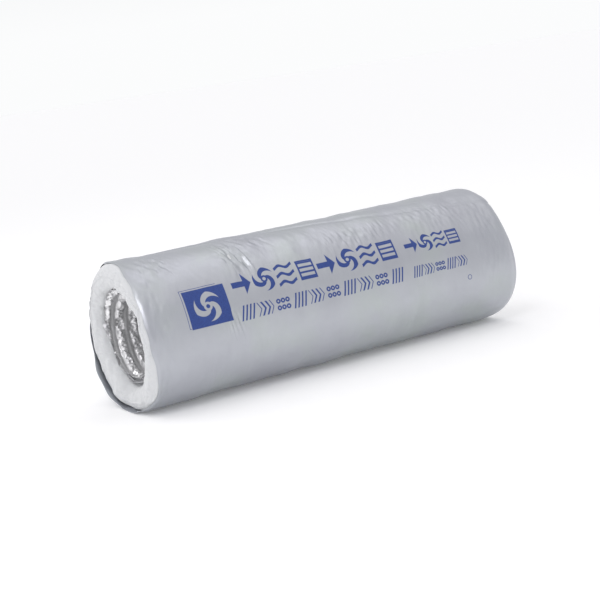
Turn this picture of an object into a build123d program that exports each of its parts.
"""Insulated flexible air duct with a 100 mm core, resting on its underside.

The duct lies along X, with its origin on the floor under the middle of its length. It is built from
the outside in: a thin jacket film, a soft insulation blanket, an outer foil ply, a spring wire helix
and an inner foil ply. Each layer runs the whole length of the duct, and is divided here into short
sections, so that the duct can be pulled out and bent between one section and the next.
"""

import os

from build123d import *

# Driving dimensions, in millimetres
section_count = 12
turns_per_section = 2.5
wire_pitch = 16.0  # from one turn of the wire to the next, with the duct packed short
section_pitch = turns_per_section * wire_pitch
section_gap = 0.3  # between the faces of neighbouring sections
core_bore = 100.0  # slips over a 100 mm collar
ply_thickness = 0.25
wire_diameter = 1.0
wire_sides = 12  # flats round the wire, which keep the mesh of the helix light
wire_lead = 4.0  # how far along the duct its turns are moved, so that none starts at the mouth
ply_clearance = 0.1  # between the wire and each foil ply
blanket_clearance = 0.2  # between the outer foil ply and the blanket
jacket_thickness = 0.4
jacket_clearance = 0.1  # between the blanket and the jacket
duct_width = 160.0
duct_height = 160.0
widest_height = 64.0  # the soft duct sags, so it is widest below its middle
flat_width = 24.0  # where it rests on the floor
core_recess = 6.0  # the foil core ends this far inside the blanket's mouth
mouth_radius = 8.0  # rounding of the blanket's bore at the two open ends

# Sizes worked out from them
duct_length = section_count * section_pitch
core_height = duct_height / 2
inner_ply_radius = core_bore / 2
inner_ply_outside = inner_ply_radius + ply_thickness
helix_radius = inner_ply_outside + ply_clearance + wire_diameter / 2
outer_ply_radius = helix_radius + wire_diameter / 2 + ply_clearance
outer_ply_outside = outer_ply_radius + ply_thickness
blanket_bore_radius = outer_ply_outside + blanket_clearance
blanket_depth = jacket_thickness + jacket_clearance  # of the blanket's outside under the film
wire_end_gap = wire_diameter / 2 + section_gap  # keeps each cut end of wire in its own section
core_axis = Axis((0, 0, core_height), (1, 0, 0))


def sagging_outline(depth, mode=Mode.ADD):
    """The duct's outline this deep under its surface: a tall crown over a wide, flattened base."""
    half_width = duct_width / 2
    half_flat = flat_width / 2
    crown = duct_height - widest_height
    with BuildLine() as outline:
        EllipticalCenterArc(
            (0, widest_height), half_width - depth, crown - depth, start_angle=0, arc_size=180
        )
        EllipticalCenterArc(
            (-half_flat, widest_height),
            half_width - half_flat - depth,
            widest_height - depth,
            start_angle=180,
            arc_size=90,
        )
        Line((-half_flat, depth), (half_flat, depth))
        EllipticalCenterArc(
            (half_flat, widest_height),
            half_width - half_flat - depth,
            widest_height - depth,
            start_angle=270,
            arc_size=90,
        )
    make_face(outline.edges(), mode=mode)


def make_jacket(start, end):
    """A hoop of the jacket film."""
    with BuildPart() as jacket:
        with BuildSketch(Plane.YZ.offset(start)):
            sagging_outline(0)
            sagging_outline(jacket_thickness, Mode.SUBTRACT)
        extrude(amount=end - start)
    return jacket.part


def make_insulation(start, end, near_mouth, far_mouth):
    """A ring of the insulation blanket, with its bore rounded off where the duct is open."""
    with BuildPart() as insulation:
        with BuildSketch(Plane.YZ.offset(start)):
            sagging_outline(blanket_depth)
            with Locations((0, core_height)):
                Circle(blanket_bore_radius, mode=Mode.SUBTRACT)
        extrude(amount=end - start)
        rims = insulation.edges().filter_by(GeomType.CIRCLE).sort_by(Axis.X)
        if near_mouth:
            fillet(rims[0], mouth_radius)
        if far_mouth:
            fillet(rims[-1], mouth_radius)
    return insulation.part


def make_ply(start, end, inside_radius):
    """A sleeve of one foil ply of the core."""
    with BuildPart() as ply:
        with BuildSketch(Plane.YZ.offset(start)):
            with Locations((0, core_height)):
                Circle(inside_radius + ply_thickness)
                Circle(inside_radius, mode=Mode.SUBTRACT)
        extrude(amount=end - start)
    return ply.part


def make_wire(start, end):
    """The turns of the wire helix in one section, in step with those of the whole duct."""
    length = end - start - 2 * wire_end_gap
    with BuildPart() as wire:
        with BuildLine():
            turns = Helix(
                wire_pitch,
                length,
                helix_radius,
                center=(start + wire_end_gap, 0, core_height),
                direction=(1, 0, 0),
            )
        with BuildSketch(Plane(origin=turns @ 0, z_dir=turns % 0)):
            RegularPolygon(wire_diameter / 2, wire_sides)
        sweep(is_frenet=True)
    return wire.part.rotate(core_axis, 360 * (start - wire_lead) / wire_pitch)


os.makedirs("parts", exist_ok=True)
for number in range(1, section_count + 1):
    section_start = -duct_length / 2 + (number - 1) * section_pitch
    start = section_start + section_gap / 2
    end = section_start + section_pitch - section_gap / 2
    at_near_end = number == 1
    at_far_end = number == section_count
    core_start = start + core_recess if at_near_end else start
    core_end = end - core_recess if at_far_end else end
    layers = {
        "jacket": make_jacket(start, end),
        "insulation": make_insulation(start, end, at_near_end, at_far_end),
        "outer_ply": make_ply(core_start, core_end, outer_ply_radius),
        "wire": make_wire(core_start, core_end),
        "inner_ply": make_ply(core_start, core_end, inner_ply_radius),
    }
    for layer, piece in layers.items():
        piece.label = f"{layer}_{number:02d}"
        export_step(piece, f"parts/{piece.label}.step")
